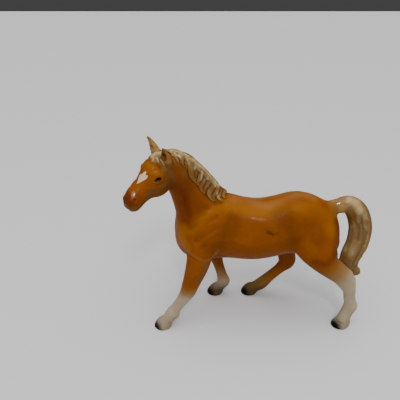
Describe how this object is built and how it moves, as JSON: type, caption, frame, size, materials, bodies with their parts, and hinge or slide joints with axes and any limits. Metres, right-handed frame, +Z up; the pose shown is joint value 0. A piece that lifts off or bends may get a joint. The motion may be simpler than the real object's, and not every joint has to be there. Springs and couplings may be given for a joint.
{
  "type": "horse figure",
  "caption": "Walking palomino horse figure in glazed earthenware, head turned to its left, tail arched down to the hock.",
  "frame": {"origin": "on the ground under the middle of the whole figure's bounding box", "axes": "+Z up, the horse faces -X, its left side faces -Y"},
  "size_m": [0.2584, 0.0786, 0.2259],
  "materials": {
    "glazed_body": "airbrushed orange palomino underglaze with darker red-brown shading under a clear gloss glaze",
    "glazed_hair": "cream and grey-tan hair painted over moulded locks, brown left in the grooves, under a clear gloss glaze",
    "glazed_leg": "cream stockings that fade into the orange body colour, hooves painted black at the toe, clear gloss glaze"
  },
  "bodies": {
    "root": {"body_casting": "glazed_body", "neck_casting": "glazed_body", "head_casting": "glazed_body", "ear_left": "glazed_body", "ear_right": "glazed_body", "mane": "glazed_hair", "forelock": "glazed_hair", "tail_casting": "glazed_hair", "fore_leg_left": "glazed_leg", "fore_leg_right": "glazed_leg", "hind_leg_left": "glazed_leg", "hind_leg_right": "glazed_leg"}
  },
  "joints": []
}
